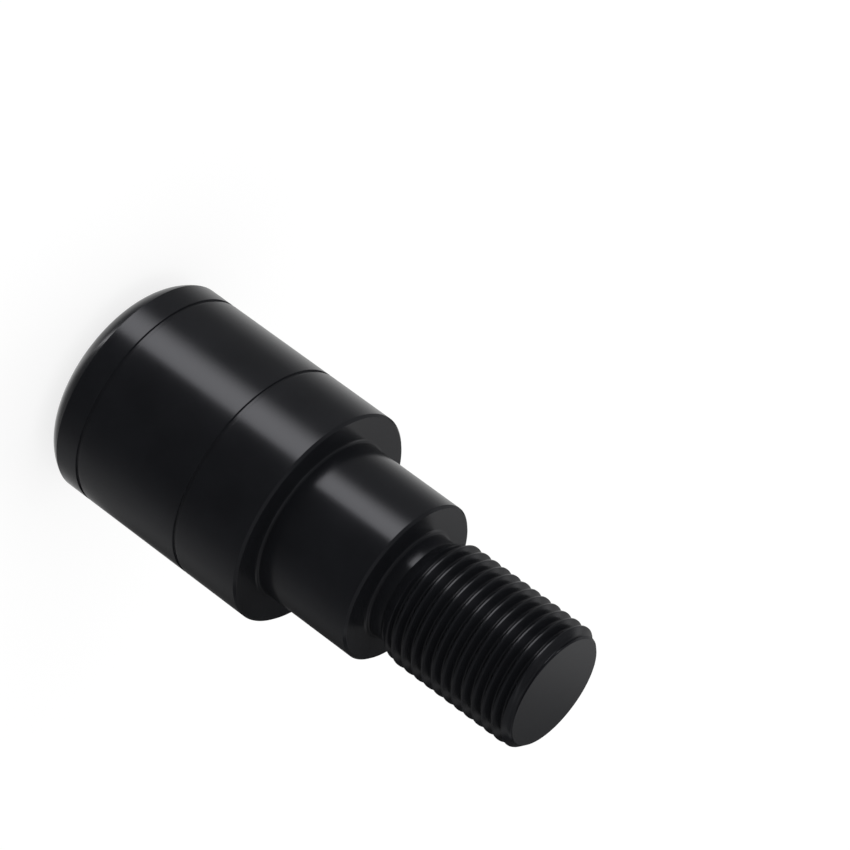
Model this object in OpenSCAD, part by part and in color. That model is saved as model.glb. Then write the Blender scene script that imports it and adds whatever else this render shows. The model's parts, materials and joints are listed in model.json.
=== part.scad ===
// Motorbike bar end with a threaded stud, turned from one bar.
// It stands on its nose, with its axis on Z and the stud on top.
// Lengths are in millimetres.

/* [Body] */
// Diameter of the round body
body_d = 28.2; // [27:0.1:36]
// Length of the straight wall, from the shoulder to the crease where the nose begins
body_len = 28.6; // [27.5:0.1:45]
// Edge break where the wall meets the shoulder
shoulder_break = 0.3; // [0.05:0.05:0.6]

/* [Grooves] */
// Distance from the shoulder to the groove nearer to it
rear_groove_at = 9.6; // [4:0.1:15]
// Distance from the shoulder to the groove nearer to the nose
front_groove_at = 25.2; // [17:0.1:26.5]
// Width of each groove
groove_w = 0.5; // [0.2:0.05:1]
// Depth of each groove
groove_depth = 0.2; // [0.1:0.05:0.6]

/* [Nose] */
// Height of the nose, from the rim of the countersink to the crease
nose_h = 3.6; // [3.2:0.1:4.4]
// Radius of the rounding between the wall and the domed front
nose_edge_r = 5.2; // [4.8:0.1:7]
// Radius of the slightly domed front
nose_dome_r = 60; // [50:1:200]

/* [Hex socket] */
// Width of the hex socket across its flats
hex_af = 8; // [6:0.5:10]
// Depth of the hex from the rim of its countersink
hex_depth = 9; // [5:0.5:14]
// Diameter of the countersink at its rim
sink_d = 11.4; // [11.2:0.1:14]
// Full angle of the countersink
sink_angle = 120; // [90:5:130]
// How much smaller the drilled pilot hole is than the hex across its flats
pilot_less = 0.4; // [0.1:0.1:2]
// Depth of the pilot hole's straight wall below the hex
pilot_extra = 1.5; // [0.5:0.1:4]
// Full angle of the drill point
drill_angle = 118; // [90:1:140]

/* [Spigot] */
// Diameter of the spigot that enters the handlebar
spigot_d = 20.9; // [19:0.1:23]
// Length of the spigot from the shoulder to its end face
spigot_len = 13.6; // [8:0.1:25]
// Edge break at the end face of the spigot
spigot_break = 0.3; // [0.05:0.05:0.8]
// Radius of the fillet in the corner between the spigot and the shoulder
spigot_fillet = 0.4; // [0.1:0.05:1]

/* [Stud] */
// Major diameter of the threaded stud
stud_d = 16; // [12:0.5:17]
// Length of the stud from the spigot's end face to its tip
stud_len = 22.2; // [14:0.1:35]
// Pitch of the thread
thread_pitch = 1.5; // [0.75:0.25:2]
// Radial depth of the relief neck below the thread's crests
neck_depth = 1.2; // [0.6:0.1:1.6]
// Straight length of the relief neck
neck_len = 2.1; // [1.5:0.1:5]
// Angle between the axis and the slope on which the thread runs out into the neck
runout_angle = 30; // [20:5:60]
// Radius of the fillet in the corner between the neck and the spigot's end face
neck_fillet = 0.5; // [0.1:0.05:1]
// Lead chamfer at the tip of the stud
lead_chamfer = 0.9; // [0.4:0.1:1.5]

/* [Hidden] */

$fn = 180;
// How far a cut runs past the surface that it opens
past = 1;

body_r = body_d / 2;
spigot_r = spigot_d / 2;
stud_r = stud_d / 2;
neck_r = stud_r - neck_depth;
sink_r = sink_d / 2;

// Heights above the rim of the countersink, on which the part stands
shoulder_z = nose_h + body_len;
spigot_z = shoulder_z + spigot_len;
tip_z = spigot_z + stud_len;

// The dome's centre lies on the axis, and the dome passes through the rim of the countersink
dome_z = sqrt(nose_dome_r * nose_dome_r - sink_r * sink_r);

// The rounding touches the dome from inside and passes through the crease, so its centre lies
// nose_dome_r - nose_edge_r from the dome's centre and nose_edge_r from the crease
crease_dz = nose_h - dome_z;
crease_dist = norm([body_r, crease_dz]);
centre_dist = nose_dome_r - nose_edge_r;
along = (pow(centre_dist, 2) - pow(nose_edge_r, 2) + pow(crease_dist, 2)) / (2 * crease_dist);
across = sqrt(pow(centre_dist, 2) - pow(along, 2));
round_x = (along * body_r + across * crease_dz) / crease_dist;
round_z = dome_z + (along * crease_dz - across * body_r) / crease_dist;
// Radius at which the rounding runs into the dome
blend_x = round_x * nose_dome_r / centre_dist;

// Radial depth and crest width of the thread, as the standard metric form gives them for its pitch
thread_depth = 0.6134 * thread_pitch;
crest_w = thread_pitch / 8;
flank_angle = 60;

// The thread ends at the lead chamfer, and its last groove runs out on the slope of the neck
thread_end = tip_z - lead_chamfer;
thread_start = spigot_z + neck_len + neck_depth / tan(runout_angle);
thread_grooves = ceil((thread_end - thread_start) / thread_pitch);

// Radius of the hex at its corners
hex_r = hex_af / 2 / cos(30);
sink_depth = (sink_r - hex_af / 2) / tan(sink_angle / 2);
pilot_d = hex_af - pilot_less;
drill_point = pilot_d / 2 / tan(drill_angle / 2);

// Half section of the nose below the crease, with the corner outside the rounding taken off
module nose_section() {
    difference() {
        intersection() {
            square([body_r, nose_h]);
            translate([0, dome_z]) circle(r = nose_dome_r);
        }
        difference() {
            translate([blend_x, -past]) square([body_r, nose_h + past]);
            translate([round_x, round_z]) circle(r = nose_edge_r);
        }
    }
}

// Half section of the straight wall with its edge break at the shoulder
module wall_section() {
    polygon([
        [0, nose_h],
        [body_r, nose_h],
        [body_r, shoulder_z - shoulder_break],
        [body_r - shoulder_break, shoulder_z],
        [0, shoulder_z]
    ]);
}

// Half section of one square groove in the wall about the given height
module groove_section(z) {
    translate([body_r - groove_depth, z - groove_w / 2])
        square([groove_depth + past, groove_w]);
}

// Half section of the fillet in an inside corner at radius x, on a face at height z
module fillet_section(x, z, r) {
    difference() {
        translate([x - r, z - r]) square([2 * r, 2 * r]);
        translate([x + r, z + r]) circle(r = r);
    }
}

// Half section of the spigot
module spigot_section() {
    polygon([
        [0, shoulder_z],
        [spigot_r, shoulder_z],
        [spigot_r, spigot_z - spigot_break],
        [spigot_r - spigot_break, spigot_z],
        [0, spigot_z]
    ]);
    fillet_section(spigot_r, shoulder_z, spigot_fillet);
}

// Half section of the stud: the relief neck, its run-out slope, the thread's major diameter and
// the lead chamfer
module stud_section() {
    polygon([
        [0, spigot_z],
        [neck_r, spigot_z],
        [neck_r, spigot_z + neck_len],
        [stud_r, thread_start],
        [stud_r, thread_end],
        [stud_r - lead_chamfer, tip_z],
        [0, tip_z]
    ]);
    fillet_section(neck_r, spigot_z, neck_fillet);
}

// Half section of one groove of the thread about the given height. The thread is made of ring
// grooves of its own pitch and form, each closed on itself.
module thread_groove(z) {
    spread = tan(flank_angle / 2);
    reach = thread_depth + past;
    root_r = stud_r - thread_depth;
    root_half = (thread_pitch - crest_w) / 2 - thread_depth * spread;
    polygon([
        [root_r, z - root_half],
        [root_r + reach, z - root_half - reach * spread],
        [root_r + reach, z + root_half + reach * spread],
        [root_r, z + root_half]
    ]);
}

// The hex socket: countersink, hex, pilot hole and drill point
module socket() {
    spread = past * tan(sink_angle / 2);
    translate([0, 0, -past])
        cylinder(h = past + sink_depth, r1 = sink_r + spread, r2 = hex_af / 2);
    translate([0, 0, -past])
        cylinder(h = past + hex_depth, r = hex_r, $fn = 6);
    cylinder(h = hex_depth + pilot_extra, d = pilot_d);
    translate([0, 0, hex_depth + pilot_extra])
        cylinder(h = drill_point, d1 = pilot_d, d2 = 0);
}

module bar_end() {
    color("#232427")
        difference() {
            rotate_extrude()
                difference() {
                    union() {
                        nose_section();
                        wall_section();
                        spigot_section();
                        stud_section();
                    }
                    groove_section(shoulder_z - rear_groove_at);
                    groove_section(shoulder_z - front_groove_at);
                    for (i = [0 : thread_grooves - 1])
                        thread_groove(thread_end - (i + 0.5) * thread_pitch);
                }
            socket();
        }
}

bar_end();
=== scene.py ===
"""Motorbike bar end with a threaded stud: its visible surface, its finish and its studio.

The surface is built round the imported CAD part, and its main sizes come from that part's frame.
"""
import json
import math

import bpy
import numpy as np
from bpy.props import EnumProperty, FloatProperty, FloatVectorProperty, PointerProperty
from mathutils import Matrix, Vector


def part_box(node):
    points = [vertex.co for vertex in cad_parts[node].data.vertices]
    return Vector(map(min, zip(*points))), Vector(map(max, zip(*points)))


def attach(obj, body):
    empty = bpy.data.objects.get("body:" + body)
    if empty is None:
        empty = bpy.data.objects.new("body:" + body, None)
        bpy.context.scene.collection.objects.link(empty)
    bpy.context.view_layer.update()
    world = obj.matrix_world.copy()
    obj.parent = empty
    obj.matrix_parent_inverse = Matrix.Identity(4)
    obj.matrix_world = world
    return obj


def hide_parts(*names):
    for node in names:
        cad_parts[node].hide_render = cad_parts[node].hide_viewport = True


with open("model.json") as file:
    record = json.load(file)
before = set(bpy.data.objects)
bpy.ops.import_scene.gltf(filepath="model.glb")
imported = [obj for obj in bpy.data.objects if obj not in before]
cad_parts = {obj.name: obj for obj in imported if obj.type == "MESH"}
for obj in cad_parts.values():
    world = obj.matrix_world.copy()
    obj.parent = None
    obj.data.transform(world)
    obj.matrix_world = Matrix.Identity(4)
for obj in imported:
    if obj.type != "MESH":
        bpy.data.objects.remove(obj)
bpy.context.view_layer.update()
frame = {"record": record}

bl_info = {
    "name": "Bar end",
    "version": (1, 0, 0),
    "blender": (4, 5, 0),
    "location": "3D View > Sidebar > Bar end",
    "description": "Makes a turned motorbike bar end with a threaded stud, and its studio",
    "category": "Add Mesh",
}

MM = 0.001
FULL_TURN = 2 * math.pi
NODE = "bar_end"
PIECE = "turned_bar_end"

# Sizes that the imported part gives
CAD_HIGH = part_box(NODE)[1]
MOUNTS = {mount["name"]: mount for mount in frame["record"]["mounts"]}
STUD_RADIUS_MM = MOUNTS["stud"]["dims"]["r_mm"]
SPIGOT_RADIUS_MM = MOUNTS["spigot"]["dims"]["r_mm"]
SHOULDER_HEIGHT_MM = MOUNTS["shoulder"]["pos_m"][2] / MM

# Marks of the faces, which are also the places of the piece's two materials
TURNED = 0
CUT = 1

# Columns of the mesh round the axis, and steps along each kind of arc
COLUMNS = 192
EDGE_STEPS = 6
DOME_STEPS = 6
NOSE_STEPS = 20
FORM_STEPS = 4
# Edge softness over the distance from an edge's arc to the points that support it
SOFTNESS_PER_SUPPORT = 3
# Pitches of thread made beyond the stud's length
SPARE_PITCHES = 3
# Pitch over the distance within which a point of the thread counts as on the ring at its foot or tip
PITCH_PER_SNAP = 200
# Degrees past which an edge is drawn sharp
SHARP_ANGLE = 19

# Noise of the satin grain, and the parts of its range that are spread over nought to one
RING_NOISE = {"Scale": 1.0, "Detail": 2.0, "Roughness": 0.6}
SPECKLE_NOISE = {"Detail": 1.0, "Roughness": 0.5}
CLOUD_NOISE = {"Scale": 140.0, "Detail": 3.0, "Roughness": 0.55}
SATIN_RANGE = {"From Min": 0.6, "From Max": 1.4}
CLOUD_RANGE = {"From Min": 0.3, "From Max": 0.7}
# Refractive index of the anodised skin
SKIN_IOR = 1.5

# Half the width of the floor in metres
FLOOR_REACH = 3.0
# Width of the camera's sensor in millimetres, and its nearest and farthest sight in metres
SENSOR_WIDTH = 36.0
CLIP_NEAR = 0.01
CLIP_FAR = 20.0

# Lamps as (degrees round from the camera, degrees above the horizon, distance, width and height in
# metres, power in watts)
LAMPS = {
    "side_lamp": (-44, 20, 0.7, 0.4, 0.8, 1.0),
    "back_lamp": (-150, 50, 0.9, 0.6, 0.6, 1.0),
}

# Columns and rows of the tent's mesh
TENT_COLUMNS = 360
TENT_ROWS = 121
# Degrees ahead of a panel's start that still count as before the panel, and not as past its end
BEFORE_PANEL = 90
# Tent panels as (start, end, softness at the start, softness at the end, bottom, top, softness there,
# brightness). Starts and ends are in degrees clockwise from the camera, as seen from above, and
# bottoms and tops in degrees above the horizon.
TENT_PANELS = (
    (8, 33, 14, 2, -120, -11, 6, 0.05),
    (33, 59, 1, 10, -120, -11, 6, 3.0),
    (58, 128, 6, 14, -120, -11, 6, 0.18),
    (128, 175, 21, 3, -120, -11, 6, 0.63),
    (175, 181, 3, 2, -120, -28, 1.5, 0.63),
    (181, 198, 2, 8, -120, -11, 6, 0.05),
    (179, 198, 2, 8, -120, -27, 1.5, 0.26),
    (188, 300, 4, 14, -120, 20, 6, 0.04),
    (188, 300, 4, 14, -120, -25.2, 2.5, 0.035),
    (230, 282, 18, 18, -120, 20, 6, 0.09),
    (230, 276, 18, 18, -120, -25.2, 2.5, 0.08),
    (182, 224, 3, 20, -120, -32.8, 1.5, 0.60),
    (292, 368, 10, 16, -120, 20, 6, 0.035),
    (110, 181, 20, 2, 0, 36, 5, 0.28),
    (130, 181, 20, 2, 28.5, 38, 1.2, 0.37),
    (181, 250, 2, 10, 28.5, 38, 1.2, 0.27),
    (240, 358, 10, 6, 28.5, 69, 1.2, 0.16),
    (240, 358, 10, 6, 69, 80, 1.2, 0.36),
    (358, 478, 6, 12, 28.5, 69, 1.2, 0.15),
    (358, 478, 6, 12, 69, 80, 1.2, 0.36),
    (118, 240, 12, 10, 40, 95, 4, 0.09),
    (57, 68, 5, 5, -19.5, -8, 2.5, 1.2),
    (300, 420, 20, 20, -120, -48, 6, 0.15),
    (250, 470, 12, 12, 2, 24, 4, 0.10),
)


def length(name, description, millimetres):
    """A length property in metres, whose default is given in millimetres."""
    return FloatProperty(name=name, description=description, default=millimetres * MM, min=0.0,
                         unit="LENGTH", subtype="DISTANCE", precision=5)


def angle(name, description, degrees):
    """An angle property in radians, whose default is given in degrees."""
    return FloatProperty(name=name, description=description, default=math.radians(degrees),
                         unit="ROTATION", subtype="ANGLE")


def share(name, description, value):
    """A plain number from nought to one."""
    return FloatProperty(name=name, description=description, default=value, min=0.0, max=1.0,
                         subtype="FACTOR")


def colour(name, description, value):
    """A colour in linear light."""
    return FloatVectorProperty(name=name, description=description, default=value, size=3,
                               min=0.0, max=1.0, subtype="COLOR")


class BodySizes(bpy.types.PropertyGroup):
    """Sizes of the round body, its grooves and its nose"""

    radius: length("Radius", "Radius of the round body", CAD_HIGH[0] / MM)
    shoulder_height: length("Shoulder height", "Height of the shoulder above the nose",
                            SHOULDER_HEIGHT_MM)
    shoulder_break: length("Shoulder edge", "Edge break where the wall meets the shoulder", 0.3)
    nose_height: length("Nose height", "Height of the crease where the wall runs into the nose", 3.6)
    nose_rounding: length("Nose rounding", "Radius of the rounding between the wall and the dome", 5.2)
    dome_radius: length("Dome radius", "Radius of the slightly domed front", 60.0)
    rear_groove: length("Rear groove", "Distance from the shoulder to the nearer groove", 9.6)
    front_groove: length("Front groove", "Distance from the shoulder to the groove near the nose", 25.2)
    groove_width: length("Groove width", "Width of each groove", 0.5)
    groove_depth: length("Groove depth", "Depth of each groove", 0.2)
    groove_rounding: length("Groove rounding", "Rounding at the lips and the floor of each groove", 0.075)
    edge_softness: length("Edge softness", "Radius of the smallest roundings on turned edges", 0.06)


class SocketSizes(bpy.types.PropertyGroup):
    """Sizes of the hex socket in the nose"""

    across_flats: length("Across flats", "Width of the hex socket across its flats", 8.0)
    depth: length("Depth", "Depth of the hex from the rim of its countersink", 9.0)
    sink_radius: length("Countersink radius", "Radius of the countersink at its rim", 5.7)
    sink_angle: angle("Countersink angle", "Full angle of the countersink", 120.0)
    pilot_radius: length("Pilot radius", "Radius of the drilled pilot hole below the hex", 3.8)
    pilot_depth: length("Pilot depth", "Straight wall of the pilot hole below the hex", 1.5)
    drill_angle: angle("Drill angle", "Full angle of the drill point", 118.0)


class StudSizes(bpy.types.PropertyGroup):
    """Sizes of the spigot, the relief neck and the threaded stud"""

    spigot_radius: length("Spigot radius", "Radius of the spigot that enters the handlebar",
                          SPIGOT_RADIUS_MM)
    spigot_length: length("Spigot length", "Length of the spigot from the shoulder to its end face", 13.6)
    spigot_break: length("Spigot edge", "Edge break at the end face of the spigot", 0.3)
    spigot_fillet: length("Spigot fillet", "Fillet in the corner between the spigot and the shoulder", 0.4)
    stud_radius: length("Stud radius", "Radius over the crests of the thread", STUD_RADIUS_MM)
    neck_depth: length("Neck depth", "Depth of the relief neck below the crests", 1.2)
    neck_length: length("Neck length", "Straight length of the relief neck", 2.1)
    runout_angle: angle("Run-out angle", "Angle between the axis and the slope where the thread runs out",
                        30.0)
    neck_fillet: length("Neck fillet", "Fillet between the neck and the spigot's end face", 0.5)
    lead_chamfer: length("Lead chamfer", "Chamfer at the tip of the stud", 0.9)
    pitch: length("Thread pitch", "Distance from one crest of the thread to the next", 1.5)
    thread_depth: length("Thread depth", "Depth of the thread from crest to root", 0.92)
    crest_flat: length("Crest flat", "Width of the flat on each crest", 0.16)
    crest_rounding: length("Crest rounding", "Rounding beside the flat of each crest", 0.05)
    root_rounding: length("Root rounding", "Radius at the root of the thread", 0.2165)
    flank_angle: angle("Flank angle", "Full angle between the two flanks of the thread", 60.0)
    thread_start: angle("Thread start", "How far the thread is turned round the stud", 226.0)
    hand: EnumProperty(name="Hand", description="Which way the thread winds", default="RIGHT",
                       items=[("RIGHT", "Right", "Right-hand thread"),
                              ("LEFT", "Left", "Left-hand thread")])


class FinishLooks(bpy.types.PropertyGroup):
    """Colours and textures of the black anodising"""

    black: colour("Black", "Colour of the anodised surface", (0.0080, 0.0085, 0.0102))
    worn_black: colour("Cloudy black", "Colour of the faint lighter clouds in the anodising",
                       (0.0108, 0.0115, 0.0138))
    gloss_tint: colour("Gloss tint", "Cool tint of the gloss", (0.94, 0.94, 1.0))
    smoothest: share("Smoothest", "Roughness where the surface is smoothest", 0.18)
    roughest: share("Roughest", "Roughness where the surface is roughest", 0.23)
    cut_roughening: share("Cut roughening", "How much rougher the thread and the socket are", 0.02)
    ring_spacing: length("Ring spacing", "Distance between the fine rings left by turning", 0.11)
    ring_relief: length("Ring relief", "Height of the fine rings left by turning", 0.0006)
    cut_rings: share("Cut rings", "Share of the rings' height on the thread and in the socket", 0.5)
    speckle_size: length("Speckle size", "Size of the fine satin speckle", 0.20)
    speckle_relief: length("Speckle relief", "Height of the fine satin speckle", 0.0015)


class StudioLooks(bpy.types.PropertyGroup):
    """Camera, tent, floor and background"""

    camera_azimuth: angle("Camera azimuth", "Direction of the camera round the part", -48.0766)
    camera_elevation: angle("Camera elevation", "Height of the camera above the horizon", 24.6724)
    camera_roll: angle("Camera roll", "Turn of the camera about its own line of sight", -125.6026)
    camera_distance: length("Camera distance", "Distance from the camera to its aim", 518.715)
    camera_lens: FloatProperty(name="Lens", description="Focal length on a sensor 36 mm wide",
                               default=191.964, unit="CAMERA", subtype="NONE")
    aim: FloatVectorProperty(name="Aim", description="Point that the camera looks at", size=3,
                             default=(-12.251 * MM, -10.012 * MM, 35.681 * MM), unit="LENGTH",
                             subtype="XYZ", precision=5)
    tent_radius: length("Tent radius", "Radius of the cloth tent that the part's gloss reflects", 250.0)
    tent_height: length("Tent height", "Height of the tent's centre, halfway up the part",
                        CAD_HIGH[2] / 2 / MM)
    floor_colour: colour("Floor colour", "Colour of the floor as it lights the part",
                         (0.80, 0.80, 0.80))
    floor_seen: colour("Floor as seen", "Colour of the floor as the camera sees it", (0.30, 0.30, 0.30))
    floor_glow: share("Floor glow", "White added to the floor as the camera sees it", 0.80)
    world_light: share("Background light", "Strength at which the background lights the part", 0.6)
    world_seen: share("Background as seen", "Strength of the background as the camera sees it", 1.0)


def arc(centre, radius, first, last, steps):
    """Points (r, z) on an arc about centre, from the first to the last angle in radians."""
    turn = np.linspace(first, last, steps + 1)
    return np.stack((centre[0] + radius * np.cos(turn), centre[1] + radius * np.sin(turn)), axis=1)


def softened(points, radii, margin):
    """The outline through points with each corner rounded by a tangent arc of its own radius.

    At a corner that turns by the angle t, the arc of radius R starts R tan(t / 2) before the corner
    and ends as far behind it. One more point lies on the straight run a margin before each arc and a
    margin behind it, so that the smooth shading of an arc ends there. A radius of nought keeps the
    corner.
    """
    points = np.asarray(points, float)
    rows = [points[:1]]
    for before, corner, after, radius in zip(points, points[1:], points[2:], radii):
        if radius <= 0:
            rows.append(corner[None])
            continue
        arriving = (corner - before) / np.linalg.norm(corner - before)
        leaving = (after - corner) / np.linalg.norm(after - corner)
        turn = math.atan2(arriving[0] * leaving[1] - arriving[1] * leaving[0], float(arriving @ leaving))
        reach = radius * math.tan(abs(turn) / 2)
        inward = np.array((-arriving[1], arriving[0])) * math.copysign(1.0, turn)
        centre = corner - arriving * reach + inward * radius
        start = math.atan2(-inward[1], -inward[0])
        rows.append((corner - arriving * (reach + margin))[None])
        rows.append(arc(centre, radius, start, start + turn, EDGE_STEPS))
        rows.append((corner + leaving * (reach + margin))[None])
    rows.append(points[-1:])
    return np.concatenate(rows)


def nose_rows(body, sink_radius):
    """Outline of the nose from the rim of the countersink over the dome and the rounding to the crease.

    The dome's centre lies on the axis. The rounding touches the dome from inside and passes through
    the crease, so its centre is the crossing of two circles: one about the dome's centre with the
    difference of the two radii, one about the crease with the rounding's own radius.
    """
    dome = math.sqrt(body.dome_radius ** 2 - sink_radius ** 2)
    reach = body.dome_radius - body.nose_rounding
    crease = np.array((body.radius, body.nose_height - dome))
    distance = float(np.linalg.norm(crease))
    along = (reach ** 2 - body.nose_rounding ** 2 + distance ** 2) / (2 * distance)
    across = math.sqrt(reach ** 2 - along ** 2)
    unit = crease / distance
    middle = along * unit + across * np.array((unit[1], -unit[0]))
    blend = middle / reach * body.dome_radius
    rim_angle = math.atan2(-dome, sink_radius)
    blend_angle = math.atan2(blend[1], blend[0])
    front = arc((0, dome), body.dome_radius, rim_angle, blend_angle, DOME_STEPS)
    start = math.atan2(middle[1], middle[0])
    end = math.atan2(crease[1] - middle[1], crease[0] - middle[0])
    rounding = arc((middle[0], middle[1] + dome), body.nose_rounding, start, end, NOSE_STEPS)
    return np.concatenate((front, rounding[1:]))


def turned_rows(body, stud, sink_radius):
    """Outline (r, z) of everything turned between the rim of the countersink and the foot of the thread."""
    soft = body.edge_softness
    wall = body.radius
    floor = wall - body.groove_depth
    half = body.groove_width / 2
    shoulder = body.shoulder_height
    spigot_top = shoulder + stud.spigot_length
    neck = stud.stud_radius - stud.neck_depth
    corners = [(wall, body.nose_height)]
    radii = []
    for height in (shoulder - body.front_groove, shoulder - body.rear_groove):
        corners += [(wall, height - half), (floor, height - half),
                    (floor, height + half), (wall, height + half)]
        radii += [body.groove_rounding] * 4
    corners += [(wall, shoulder - body.shoulder_break), (wall - body.shoulder_break, shoulder),
                (stud.spigot_radius, shoulder), (stud.spigot_radius, spigot_top - stud.spigot_break),
                (stud.spigot_radius - stud.spigot_break, spigot_top), (neck, spigot_top),
                (neck, spigot_top + stud.neck_length)]
    radii += [soft, soft, stud.spigot_fillet, soft, soft, stud.neck_fillet]
    straight = softened(corners, radii, soft / SOFTNESS_PER_SUPPORT)
    return np.concatenate((nose_rows(body, sink_radius), straight[1:]))


def thread_form(stud):
    """One pitch of the thread, from the middle of one root on, as shares of the pitch and as depths.

    From the root's middle the root arc rises until its slope equals the flank's. Then come the
    straight flank, the rounding of the crest, which turns by the same angle, and the crest's flat.
    The other half mirrors it.
    """
    slope = math.pi / 2 - stud.flank_angle / 2
    turn = np.linspace(0, slope, FORM_STEPS + 1)
    root = np.stack((stud.root_rounding * np.sin(turn),
                     stud.thread_depth - stud.root_rounding * (1 - np.cos(turn))), axis=1)
    crest = np.stack((stud.pitch / 2 - stud.crest_flat / 2 - stud.crest_rounding * np.sin(turn[::-1]),
                      stud.crest_rounding * (1 - np.cos(turn[::-1]))), axis=1)
    flank = root[-1] + (crest[0] - root[-1]) * np.linspace(0, 1, FORM_STEPS + 1)[1:-1, None]
    half = np.concatenate((root, flank, crest))
    other = np.stack((stud.pitch - half[:0:-1, 0], half[:0:-1, 1]), axis=1)
    whole = np.concatenate((half, other))
    return whole[:, 0] / stud.pitch, whole[:, 1]


def faces_of(index):
    """Faces between neighbouring rows and columns of a grid of vertex numbers.

    A quad with two neighbouring corners on one vertex becomes a triangle, and one with two such pairs
    has no area and is left out.
    """
    corners = (index[:-1, :-1], index[:-1, 1:], index[1:, 1:], index[1:, :-1])
    quads = np.stack(corners, axis=-1).reshape(-1, 4)
    same = quads == np.roll(quads, -1, axis=1)
    pairs = same.sum(axis=1)
    triangles = quads[pairs == 1][~same[pairs == 1]].reshape(-1, 3)
    return quads[pairs == 0], triangles


def socket_grid(socket, turn):
    """Radii and heights of the socket's rows, from the drill point down to the hex's scalloped edge.

    The hex has its corners at each sixth of a turn from zero: its radius is half the width across
    flats over the cosine of the angle from the middle of the flat. The countersink is a cone, so it
    cuts the hex where the cone's radius equals the hex's, and that edge is scalloped.
    """
    flat = socket.across_flats / 2 / np.cos(np.mod(turn, math.pi / 3) - math.pi / 6)
    full = np.ones_like(turn)
    slope = math.tan(socket.sink_angle / 2)
    pilot_top = socket.depth + socket.pilot_depth
    point = socket.pilot_radius / math.tan(socket.drill_angle / 2)
    rows = [(0 * full, (pilot_top + point) * full), (socket.pilot_radius * full, pilot_top * full),
            (socket.pilot_radius * full, socket.depth * full), (flat, socket.depth * full),
            (flat, (socket.sink_radius - flat) / slope)]
    return np.array([r for r, z in rows]), np.array([z for r, z in rows])


def bar_end_mesh(body, socket, stud):
    """Vertices, quads and triangles of the whole bar end, and a mark for each face: turned or cut.

    Every point is (r cos t, r sin t, z). From the hex up to the thread, r and z follow the socket's
    rows and then the outline. On the stud the rows wind with the thread: a row's height is the height
    where the thread begins plus the pitch times (its share of the form + t / full turn). So each row
    keeps one depth of the thread form, and its radius is the smallest of the form's, the run-out's
    and the lead chamfer's. A row that leaves the stud below or above ends on the ring there, and the
    last column meets the first one pitch further up.
    """
    turn = np.arange(COLUMNS) * FULL_TURN / COLUMNS
    hole_r, hole_z = socket_grid(socket, turn)
    outline = turned_rows(body, stud, socket.sink_radius)
    below_r = np.concatenate((hole_r, np.repeat(outline[:, :1], COLUMNS, axis=1)))
    below_z = np.concatenate((hole_z, np.repeat(outline[:, 1:], COLUMNS, axis=1)))

    neck, foot = outline[-1]
    tip = CAD_HIGH[2]
    shares, depths = thread_form(stud)
    per_pitch = len(shares)
    pitches = math.ceil((tip - foot) / stud.pitch) + SPARE_PITCHES
    row = np.arange(per_pitch * pitches)
    begin = foot - stud.pitch * (1 + stud.thread_start / FULL_TURN)
    climb = row // per_pitch + shares[row % per_pitch]
    height = begin + stud.pitch * (climb[:, None] + turn / FULL_TURN)
    runout = neck + (height - foot) * math.tan(stud.runout_angle)
    chamfer = stud.stud_radius - height + tip - stud.lead_chamfer
    radius = np.minimum(stud.stud_radius - depths[row % per_pitch, None], np.minimum(runout, chamfer))
    tip_share = np.mod((tip - begin) / stud.pitch - turn / FULL_TURN, 1.0)
    tip_r = np.minimum(stud.stud_radius - stud.lead_chamfer,
                       stud.stud_radius - np.interp(tip_share, shares, depths, period=1.0))

    margin = stud.pitch / PITCH_PER_SNAP
    under = height <= foot + margin
    over = height >= tip - margin
    free = ~(under | over)
    first_free = below_r.size
    foot_ring = np.arange(below_r.size - COLUMNS, below_r.size)
    tip_ring = first_free + free.sum() + np.arange(COLUMNS)
    winding = np.where(under, foot_ring, tip_ring)
    winding[free] = first_free + np.arange(free.sum())
    seam = np.concatenate((winding[per_pitch:, :1], np.full((per_pitch, 1), tip_ring[0])))

    turns = np.broadcast_to(turn, height.shape)
    r = np.concatenate((below_r.ravel(), radius[free], tip_r, [0.0]))
    z = np.concatenate((below_z.ravel(), height[free], np.full(COLUMNS, tip), [tip]))
    t = np.concatenate((np.tile(turn, len(below_r)), turns[free], turn, [0.0]))
    vertices = np.stack((r * np.cos(t), r * np.sin(t), z), axis=1)

    below = np.arange(below_r.size).reshape(below_r.shape)
    below[0] = 0
    top = np.stack((tip_ring, np.full(COLUMNS, len(vertices) - 1)))
    grids = [(below[:len(hole_r)], CUT), (below[len(hole_r) - 1:], TURNED), (top, TURNED)]
    parts = [(faces_of(np.concatenate((grid, grid[:, :1]), axis=1)), mark) for grid, mark in grids]
    parts.append((faces_of(np.concatenate((winding, seam), axis=1)), CUT))
    quads = np.concatenate([quads for (quads, triangles), mark in parts])
    triangles = np.concatenate([triangles for (quads, triangles), mark in parts])
    marks = np.concatenate([np.full(len(quads), mark) for (quads, triangles), mark in parts]
                           + [np.full(len(triangles), mark) for (quads, triangles), mark in parts])
    if stud.hand == "LEFT":
        vertices[:, 1] *= -1
        quads = quads[:, ::-1]
        triangles = triangles[:, ::-1]
    used = np.unique(np.concatenate((quads.ravel(), triangles.ravel())))
    renumber = np.zeros(len(vertices), int)
    renumber[used] = np.arange(len(used))
    return vertices[used], renumber[quads], renumber[triangles], marks


def new_mesh(name, vertices, faces):
    """A mesh object at the origin, in the scene's collection."""
    mesh = bpy.data.meshes.new(name)
    mesh.from_pydata(vertices, [], faces)
    mesh.update()
    made = bpy.data.objects.new(name, mesh)
    bpy.context.scene.collection.objects.link(made)
    return made


def new_material(name):
    """A material whose node tree is empty."""
    material = bpy.data.materials.new(name)
    material.use_nodes = True
    material.node_tree.nodes.clear()
    return material


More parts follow.
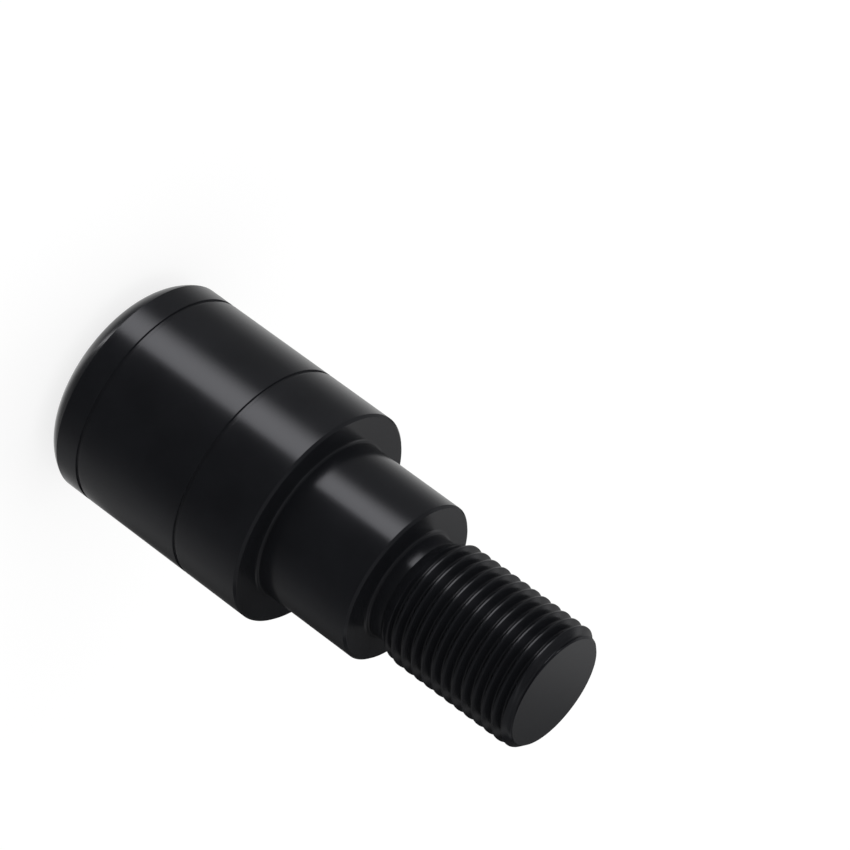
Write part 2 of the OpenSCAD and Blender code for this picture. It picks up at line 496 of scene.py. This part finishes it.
def new_socket(tree, name, way, kind):
    """Adds a named input or output to a node group."""
    tree.interface.new_socket(name=name, in_out=way, socket_type=kind)


def add_node(tree, kind, place, inputs=None, **settings):
    """A node of the given kind with its settings, and values or links for its inputs."""
    made = tree.nodes.new(kind)
    made.location = place
    for name, value in settings.items():
        setattr(made, name, value)
    for key, value in (inputs or {}).items():
        if isinstance(value, bpy.types.NodeSocket):
            tree.links.new(value, made.inputs[key])
        else:
            made.inputs[key].default_value = value
    return made


def satin_grain():
    """Node group of the satin grain: turning rings about the axis, a fine speckle and slow clouds.

    The rings are noise over (distance from the axis, height), which is the same all round. The speckle
    and the clouds are noise over the position itself. Relief is the rings and the speckle, each times
    its own height, Satin spreads the sum of the speckle and the clouds over nought to one, and Clouds
    does so with the clouds alone.
    """
    found = bpy.data.node_groups.get("Satin grain")
    if found:
        return found
    tree = bpy.data.node_groups.new("Satin grain", "ShaderNodeTree")
    new_socket(tree, "Position", "INPUT", "NodeSocketVector")
    for name in ("Ring spacing", "Speckle size", "Ring relief", "Speckle relief"):
        new_socket(tree, name, "INPUT", "NodeSocketFloat")
    for name in ("Relief", "Clouds", "Satin"):
        new_socket(tree, name, "OUTPUT", "NodeSocketFloat")
    given = add_node(tree, "NodeGroupInput", (-900, 0)).outputs
    split = add_node(tree, "ShaderNodeSeparateXYZ", (-700, 200), {"Vector": given["Position"]}).outputs
    flat = add_node(tree, "ShaderNodeCombineXYZ", (-520, 260), {"X": split["X"], "Y": split["Y"]})
    reach = add_node(tree, "ShaderNodeVectorMath", (-360, 260), {0: flat.outputs[0]},
                     operation="LENGTH")
    across = add_node(tree, "ShaderNodeMath", (-180, 300),
                      {0: reach.outputs["Value"], 1: given["Ring spacing"]}, operation="DIVIDE")
    along = add_node(tree, "ShaderNodeMath", (-180, 140), {0: split["Z"], 1: given["Ring spacing"]},
                     operation="DIVIDE")
    place = add_node(tree, "ShaderNodeCombineXYZ", (0, 240),
                     {"X": across.outputs[0], "Y": along.outputs[0]})
    rings = add_node(tree, "ShaderNodeTexNoise", (160, 240),
                     {"Vector": place.outputs[0], **RING_NOISE}, noise_dimensions="2D")
    fine = add_node(tree, "ShaderNodeMath", (-180, -60), {0: 1.0, 1: given["Speckle size"]},
                    operation="DIVIDE")
    speckle = add_node(tree, "ShaderNodeTexNoise", (160, -20),
                       {"Vector": given["Position"], "Scale": fine.outputs[0], **SPECKLE_NOISE})
    clouds = add_node(tree, "ShaderNodeTexNoise", (160, -280),
                      {"Vector": given["Position"], **CLOUD_NOISE})
    ring_part = add_node(tree, "ShaderNodeMath", (360, 240),
                         {0: rings.outputs["Fac"], 1: given["Ring relief"]}, operation="MULTIPLY")
    relief = add_node(tree, "ShaderNodeMath", (540, 160),
                      {0: speckle.outputs["Fac"], 1: given["Speckle relief"], 2: ring_part.outputs[0]},
                      operation="MULTIPLY_ADD")
    blend = add_node(tree, "ShaderNodeMath", (360, -60),
                     {0: speckle.outputs["Fac"], 1: clouds.outputs["Fac"]}, operation="ADD")
    satin = add_node(tree, "ShaderNodeMapRange", (540, -60),
                     {"Value": blend.outputs[0], **SATIN_RANGE}, clamp=True)
    cloudy = add_node(tree, "ShaderNodeMapRange", (540, -300),
                      {"Value": clouds.outputs["Fac"], **CLOUD_RANGE}, clamp=True)
    add_node(tree, "NodeGroupOutput", (760, 0),
             {"Relief": relief.outputs[0], "Clouds": cloudy.outputs[0], "Satin": satin.outputs[0]})
    return tree


def anodised(name, looks, rings, roughening):
    """Black anodised aluminium: a clear glossy skin over near-black, with the satin grain.

    The clouds of the grain mix the two blacks, its satin sets the roughness between the smoothest and
    the roughest, and its relief, in millimetres, is a bump.
    """
    material = new_material(name)
    tree = material.node_tree
    place = add_node(tree, "ShaderNodeTexCoord", (-900, 0))
    grain = add_node(tree, "ShaderNodeGroup", (-680, 0), node_tree=satin_grain())
    tree.links.new(place.outputs["Object"], grain.inputs["Position"])
    grain.inputs["Ring spacing"].default_value = looks.ring_spacing
    grain.inputs["Speckle size"].default_value = looks.speckle_size
    grain.inputs["Ring relief"].default_value = rings * looks.ring_relief / MM
    grain.inputs["Speckle relief"].default_value = looks.speckle_relief / MM
    tint = add_node(tree, "ShaderNodeMix", (-380, 160), {"Factor": grain.outputs["Clouds"]},
                    data_type="RGBA")
    tint.inputs["A"].default_value = (*looks.black, 1.0)
    tint.inputs["B"].default_value = (*looks.worn_black, 1.0)
    gloss = add_node(tree, "ShaderNodeMapRange", (-380, -80),
                     {"Value": grain.outputs["Satin"], "To Min": looks.smoothest + roughening,
                      "To Max": looks.roughest + roughening})
    bump = add_node(tree, "ShaderNodeBump", (-380, -320),
                    {"Height": grain.outputs["Relief"], "Strength": 1.0, "Distance": MM})
    shader = add_node(tree, "ShaderNodeBsdfPrincipled", (-120, 80),
                      {"Base Color": tint.outputs["Result"], "Roughness": gloss.outputs["Result"],
                       "Normal": bump.outputs["Normal"], "Metallic": 0.0, "IOR": SKIN_IOR,
                       "Specular Tint": (*looks.gloss_tint, 1.0)})
    add_node(tree, "ShaderNodeOutputMaterial", (200, 80), {"Surface": shader.outputs[0]})
    return material


class BAREND_OT_part(bpy.types.Operator):
    """Makes the turned bar end with its socket, grooves and thread, and gives it its black anodising"""

    bl_idname = "barend.make_part"
    bl_label = "Make the bar end"

    def execute(self, context):
        scene = context.scene
        looks = scene.barend_finish
        vertices, quads, triangles, marks = bar_end_mesh(scene.barend_body, scene.barend_socket,
                                                         scene.barend_stud)
        part = new_mesh(PIECE, vertices, quads.tolist() + triangles.tolist())
        mesh = part.data
        mesh.materials.append(anodised("black_anodised_turned", looks, rings=1.0, roughening=0.0))
        mesh.materials.append(anodised("black_anodised_cut", looks, rings=looks.cut_rings,
                                       roughening=looks.cut_roughening))
        mesh.polygons.foreach_set("material_index", marks.astype(np.int32))
        mesh.polygons.foreach_set("use_smooth", np.ones(len(mesh.polygons), bool))
        mesh.set_sharp_from_angle(angle=math.radians(SHARP_ANGLE))
        mesh.update()
        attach(part, "root")
        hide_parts(NODE)
        return {"FINISHED"}


def background_rays(tree, place):
    """One where a ray comes from the camera, a glossy reflection or a clear material, and else nought."""
    path = add_node(tree, "ShaderNodeLightPath", place)
    seen = add_node(tree, "ShaderNodeMath", (place[0] + 180, place[1]),
                    {0: path.outputs["Is Camera Ray"], 1: path.outputs["Is Glossy Ray"]},
                    operation="MAXIMUM")
    both = add_node(tree, "ShaderNodeMath", (place[0] + 360, place[1]),
                    {0: seen.outputs[0], 1: path.outputs["Is Transmission Ray"]},
                    operation="MAXIMUM")
    return both.outputs[0]


def floor_material(looks):
    """Pale matt floor that shows as white where it is lit, and keeps the part's shadow."""
    material = new_material("pale_floor")
    tree = material.node_tree
    matt = add_node(tree, "ShaderNodeBsdfDiffuse", (0, 0), {"Color": (*looks.floor_colour, 1.0)})
    pale = add_node(tree, "ShaderNodeBsdfDiffuse", (0, -140), {"Color": (*looks.floor_seen, 1.0)})
    glow = add_node(tree, "ShaderNodeEmission", (0, -280), {"Strength": looks.floor_glow})
    lit = add_node(tree, "ShaderNodeAddShader", (200, -200), {0: pale.outputs[0], 1: glow.outputs[0]})
    shade = add_node(tree, "ShaderNodeMixShader", (400, 0),
                     {"Fac": background_rays(tree, (-400, 200)), 1: matt.outputs[0], 2: lit.outputs[0]})
    add_node(tree, "ShaderNodeOutputMaterial", (600, 0), {"Surface": shade.outputs[0]})
    return material


def pale_world(looks):
    """White behind everything that is seen, and a softer grey as light."""
    world = bpy.data.worlds.new("pale_studio")
    bpy.context.scene.world = world
    world.use_nodes = True
    tree = world.node_tree
    tree.nodes.clear()
    white = (1.0, 1.0, 1.0, 1.0)
    soft = add_node(tree, "ShaderNodeBackground", (0, 0),
                    {"Color": white, "Strength": looks.world_light})
    bright = add_node(tree, "ShaderNodeBackground", (0, -140),
                      {"Color": white, "Strength": looks.world_seen})
    shade = add_node(tree, "ShaderNodeMixShader", (200, 0),
                     {"Fac": background_rays(tree, (-400, 200)), 1: soft.outputs[0], 2: bright.outputs[0]})
    add_node(tree, "ShaderNodeOutputWorld", (400, 0), {"Surface": shade.outputs[0]})


def smooth_step(low, high, value):
    """Nought below low, one above high and 3 t^2 - 2 t^3 between them, where t runs from nought to one."""
    t = np.clip((value - low) / (high - low), 0, 1)
    return t * t * (3 - 2 * t)


def tent_brightness(azimuth, elevation):
    """Brightness of the tent in each direction, given in degrees.

    It is the sum of the panels' brightnesses, each times a smooth step up at one edge and down at the
    other, both ways.
    """
    level = np.zeros_like(azimuth)
    for start, end, start_soft, end_soft, bottom, top, soft, brightness in TENT_PANELS:
        inside = np.mod(azimuth - start + BEFORE_PANEL, 360) - BEFORE_PANEL
        width = end - start
        level += (brightness * smooth_step(-start_soft, start_soft, inside)
                  * (1 - smooth_step(width - end_soft, width + end_soft, inside))
                  * smooth_step(bottom - soft, bottom + soft, elevation)
                  * (1 - smooth_step(top - soft, top + soft, elevation)))
    return level


def tent_cloth():
    """Cloth that glows with the brightness given at each point of the tent."""
    material = new_material("tent_cloth")
    tree = material.node_tree
    seen = add_node(tree, "ShaderNodeAttribute", (0, 0), attribute_name="brightness")
    glow = add_node(tree, "ShaderNodeEmission", (200, 0), {"Strength": seen.outputs["Fac"]})
    add_node(tree, "ShaderNodeOutputMaterial", (400, 0), {"Surface": glow.outputs[0]})
    return material


def cloth_tent(looks):
    """Round tent of dark cloth with paler panels, which only the part's gloss sees.

    A point lies at the tent's radius from its centre along (azimuth, elevation), and the first and
    the last row each shrink to one place, straight below and straight above the centre.
    """
    azimuth = np.linspace(0, 360, TENT_COLUMNS + 1)[:-1]
    elevation = np.linspace(-90, 90, TENT_ROWS)
    grid_a, grid_e = np.meshgrid(azimuth, elevation)
    bearing = looks.camera_azimuth - np.radians(grid_a)
    rise = np.radians(grid_e)
    way = np.stack((np.cos(rise) * np.cos(bearing), np.cos(rise) * np.sin(bearing), np.sin(rise)),
                   axis=-1)
    vertices = looks.tent_radius * way.reshape(-1, 3)
    vertices[:, 2] += looks.tent_height
    index = np.arange(len(vertices)).reshape(grid_a.shape)
    quads = faces_of(np.concatenate((index, index[:, :1]), axis=1))[0]
    tent = new_mesh("cloth_tent", vertices, quads.tolist())
    layer = tent.data.attributes.new("brightness", "FLOAT", "POINT")
    layer.data.foreach_set("value", tent_brightness(grid_a, grid_e).ravel().astype(np.float32))
    tent.data.materials.append(tent_cloth())
    tent.visible_camera = False
    tent.visible_diffuse = False
    tent.visible_shadow = False
    tent.visible_transmission = False


def pale_floor(looks):
    """Square floor under the part, which glossy rays don't see and which casts no shadow."""
    reach = FLOOR_REACH
    corners = [(-reach, -reach, 0), (reach, -reach, 0), (reach, reach, 0), (-reach, reach, 0)]
    floor = new_mesh("floor", corners, [(0, 1, 2, 3)])
    floor.data.materials.append(floor_material(looks))
    floor.visible_glossy = False
    floor.visible_shadow = False


def direction(azimuth, elevation):
    """Unit vector (cos e cos a, cos e sin a, sin e) for an azimuth a and an elevation e in radians."""
    flat = math.cos(elevation)
    return Vector((flat * math.cos(azimuth), flat * math.sin(azimuth), math.sin(elevation)))


def area_lamp(name, azimuth, elevation, distance, width, height, power):
    """A soft rectangular lamp that faces the part's foot from a direction given in degrees.

    Its own axes are the level line across the direction, the line square to both, and the direction.
    """
    data = bpy.data.lights.new(name, "AREA")
    data.shape = "RECTANGLE"
    data.size = width
    data.size_y = height
    data.energy = power
    lamp = bpy.data.objects.new(name, data)
    bpy.context.scene.collection.objects.link(lamp)
    bearing = math.radians(azimuth)
    way = direction(bearing, math.radians(elevation))
    side = Vector((-math.sin(bearing), math.cos(bearing), 0))
    turned = Matrix((side, way.cross(side), way)).transposed().to_quaternion()
    lamp.matrix_world = Matrix.LocRotScale(way * distance, turned, None)
    lamp.visible_camera = False
    lamp.visible_glossy = False


def aimed_camera(looks):
    """Camera at its distance from the aim, level with the horizon and then rolled."""
    camera = bpy.data.objects.new("camera", bpy.data.cameras.new("camera"))
    bpy.context.scene.collection.objects.link(camera)
    bpy.context.scene.camera = camera
    camera.data.lens = looks.camera_lens
    camera.data.sensor_width = SENSOR_WIDTH
    camera.data.clip_start = CLIP_NEAR
    camera.data.clip_end = CLIP_FAR
    back = direction(looks.camera_azimuth, looks.camera_elevation)
    place = Matrix.Translation(Vector(looks.aim) + back * looks.camera_distance)
    level = (-back).to_track_quat("-Z", "Y").to_matrix().to_4x4()
    camera.matrix_world = place @ level @ Matrix.Rotation(-looks.camera_roll, 4, "Z")


class BAREND_OT_stage(bpy.types.Operator):
    """Sets up the pale floor, the background, the tent, the lamps and the camera"""

    bl_idname = "barend.make_stage"
    bl_label = "Set up the studio"

    def execute(self, context):
        scene = context.scene
        looks = scene.barend_studio
        scene.view_settings.view_transform = "Standard"
        pale_floor(looks)
        pale_world(looks)
        cloth_tent(looks)
        bearing = math.degrees(looks.camera_azimuth)
        for name, (turn, elevation, *rest) in LAMPS.items():
            area_lamp(name, bearing + turn, elevation, *rest)
        aimed_camera(looks)
        return {"FINISHED"}


class BAREND_PT_panel(bpy.types.Panel):
    """Lists the sizes, the colours and the steps that make the bar end"""

    bl_idname = "BAREND_PT_panel"
    bl_label = "Bar end"
    bl_space_type = "VIEW_3D"
    bl_region_type = "UI"
    bl_category = "Bar end"

    def draw(self, context):
        for name in GROUPS:
            box = self.layout.box()
            settings = getattr(context.scene, name)
            for field in settings.bl_rna.properties:
                if field.identifier not in ("rna_type", "name"):
                    box.prop(settings, field.identifier)
        for step in STEPS:
            self.layout.operator(step.bl_idname)


GROUPS = {"barend_body": BodySizes, "barend_socket": SocketSizes, "barend_stud": StudSizes,
          "barend_finish": FinishLooks, "barend_studio": StudioLooks}
STEPS = (BAREND_OT_part, BAREND_OT_stage)
CLASSES = (*GROUPS.values(), *STEPS, BAREND_PT_panel)


def register():
    """Makes the settings, the steps and the panel known to Blender."""
    for made in CLASSES:
        bpy.utils.register_class(made)
    for name, group in GROUPS.items():
        setattr(bpy.types.Scene, name, PointerProperty(type=group))


def unregister():
    """Takes them away again."""
    for name in GROUPS:
        delattr(bpy.types.Scene, name)
    for made in reversed(CLASSES):
        bpy.utils.unregister_class(made)


def main():
    """Makes the part and the studio."""
    register()
    bpy.ops.barend.make_part()
    bpy.ops.barend.make_stage()


if __name__ == "__main__":
    main()
